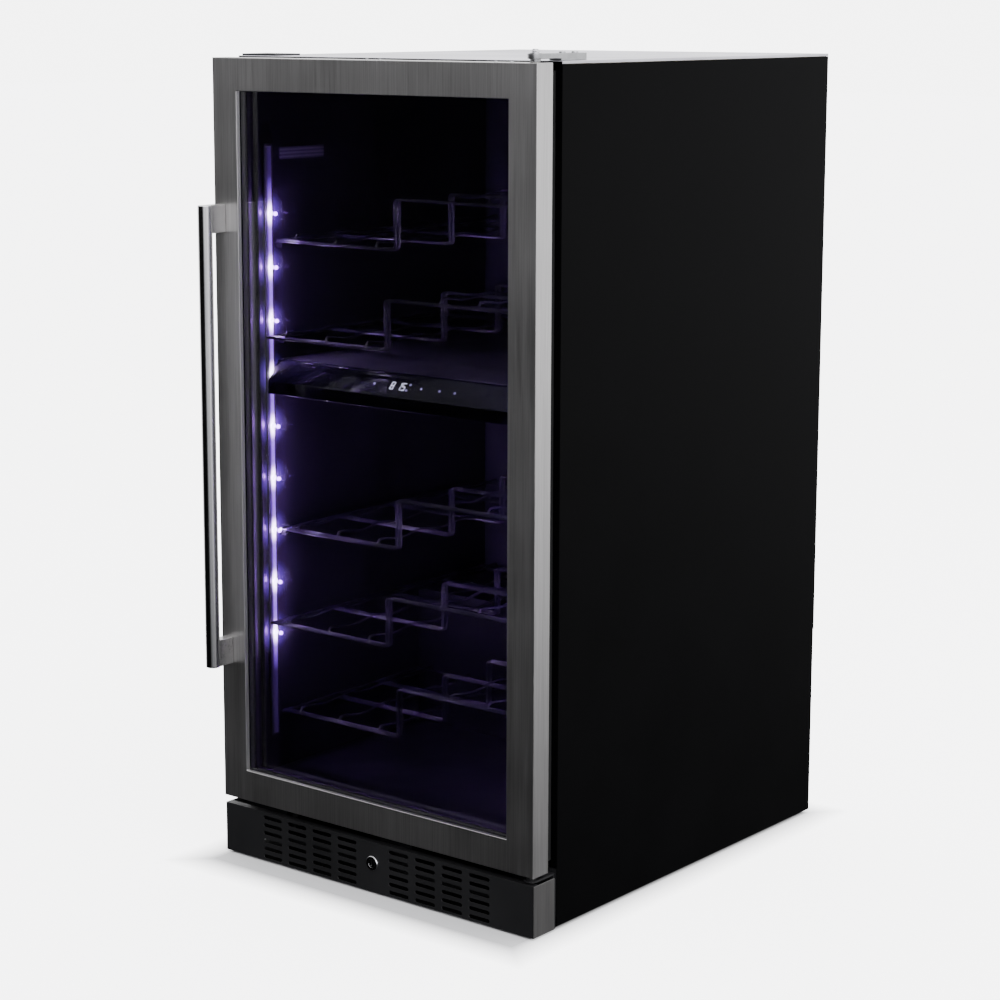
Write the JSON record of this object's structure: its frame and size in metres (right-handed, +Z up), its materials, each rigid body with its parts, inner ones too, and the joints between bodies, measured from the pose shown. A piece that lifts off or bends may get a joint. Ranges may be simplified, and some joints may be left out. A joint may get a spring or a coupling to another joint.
{
  "type": "wine cooler",
  "caption": "Tall freestanding wine cooler with a hinged glass door in a steel frame, a bar handle, stepped wire racks and a slotted kick plate with a lock.",
  "frame": {"origin": "on the floor, midway between the sides and midway between the front of the handle and the back panel", "axes": "+X to the right seen from the front, -Y is the front with the door, +Z is up"},
  "size_m": [0.595, 0.7742, 1.2163],
  "materials": {
    "brushed_steel": "vertically brushed, satin",
    "polished_steel": "polished",
    "black_paint": "satin",
    "pale_sheet": "satin",
    "black_plastic": "matte",
    "gloss_black": "gloss",
    "zinc_plate": "zinc plated, satin",
    "clear_glass": "gloss",
    "rubber": "matte",
    "foam": "rigid polyurethane foam",
    "copper": "drawn copper tube, satin",
    "aluminium": "satin",
    "lamp_cover": "satin",
    "black_wire": "gloss"
  },
  "bodies": {
    "cabinet": {"air_duct_lower": "black_plastic", "air_duct_upper": "black_plastic", "back_panel": "black_paint", "base_tray": "black_paint", "bulkhead": "zinc_plate", "compressor": "black_paint", "condensate_tray": "black_plastic", "condenser": "aluminium", "condenser_fan_frame": "black_plastic", "control_fascia": "gloss_black", "discharge_line": "copper", "display_board": "black_plastic", "evaporator_lower": "aluminium", "evaporator_upper": "aluminium", "fan_frame_lower": "black_plastic", "fan_frame_upper": "black_plastic", "foam_insulation": "foam", "front_frame": "black_paint", "hinge_bottom": "black_paint", "hinge_top": "zinc_plate", "inner_liner": "black_plastic", "kick_end_left": "brushed_steel", "kick_end_right": "brushed_steel", "kick_grille": "black_paint", "led_strip_left": "lamp_cover", "led_strip_right": "lamp_cover", "liquid_line": "copper", "lock_barrel": "polished_steel", "power_board": "black_plastic", "power_inlet": "black_plastic", "rack_1": "black_wire", "rack_2": "black_wire", "rack_3": "black_wire", "rack_4": "black_wire", "rack_5": "black_wire", "rear_cover": "zinc_plate", "side_panel_left": "black_paint", "side_panel_right": "black_paint", "suction_line": "copper", "top_panel": "pale_sheet", "zone_divider": "black_plastic"},
    "door": {"door_frame": "brushed_steel", "door_core": "black_plastic", "glass_outer": "clear_glass", "glass_inner": "clear_glass", "glass_spacer": "black_plastic", "door_gasket": "rubber", "bushing_top": "black_plastic", "bushing_bottom": "black_plastic", "handle_tube": "polished_steel", "handle_post_upper": "brushed_steel", "handle_post_lower": "brushed_steel"},
    "lock_plug": {"lock_cylinder": "polished_steel"},
    "upper_fan": {"fan_rotor_upper": "black_plastic"},
    "lower_fan": {"fan_rotor_lower": "black_plastic"},
    "condenser_fan": {"condenser_fan_rotor": "black_plastic"},
    "front_left_foot": {"foot_front_left": "rubber"},
    "front_right_foot": {"foot_front_right": "rubber"},
    "rear_left_foot": {"foot_rear_left": "rubber"},
    "rear_right_foot": {"foot_rear_right": "rubber"}
  },
  "joints": [
    {"name": "door_hinge", "type": "hinge", "parent": "cabinet", "child": "door", "pos_m": [0.283, -0.326, 0.0905], "axis": [0, 0, 1], "range_deg": [0, 115]},
    {"name": "lock_turn", "type": "hinge", "parent": "cabinet", "child": "lock_plug", "pos_m": [0, -0.3405, 0.0467], "axis": [0, 1, 0], "range_deg": [0, 90]},
    {"name": "upper_fan_spin", "type": "hinge", "parent": "cabinet", "child": "upper_fan", "pos_m": [0, 0.2464, 1.085], "axis": [0, 1, 0], "continuous": true},
    {"name": "lower_fan_spin", "type": "hinge", "parent": "cabinet", "child": "lower_fan", "pos_m": [0, 0.2464, 0.6243], "axis": [0, 1, 0], "continuous": true},
    {"name": "condenser_fan_spin", "type": "hinge", "parent": "cabinet", "child": "condenser_fan", "pos_m": [-0.0617, 0.2291, 0.0895], "axis": [1, 0, 0], "continuous": true},
    {"name": "front_left_foot_screw", "type": "slide", "parent": "cabinet", "child": "front_left_foot", "axis": [0, 0, -1], "range_m": [0, 0.015]},
    {"name": "front_right_foot_screw", "type": "slide", "parent": "cabinet", "child": "front_right_foot", "axis": [0, 0, -1], "range_m": [0, 0.015]},
    {"name": "rear_left_foot_screw", "type": "slide", "parent": "cabinet", "child": "rear_left_foot", "axis": [0, 0, -1], "range_m": [0, 0.015]},
    {"name": "rear_right_foot_screw", "type": "slide", "parent": "cabinet", "child": "rear_right_foot", "axis": [0, 0, -1], "range_m": [0, 0.015]}
  ]
}
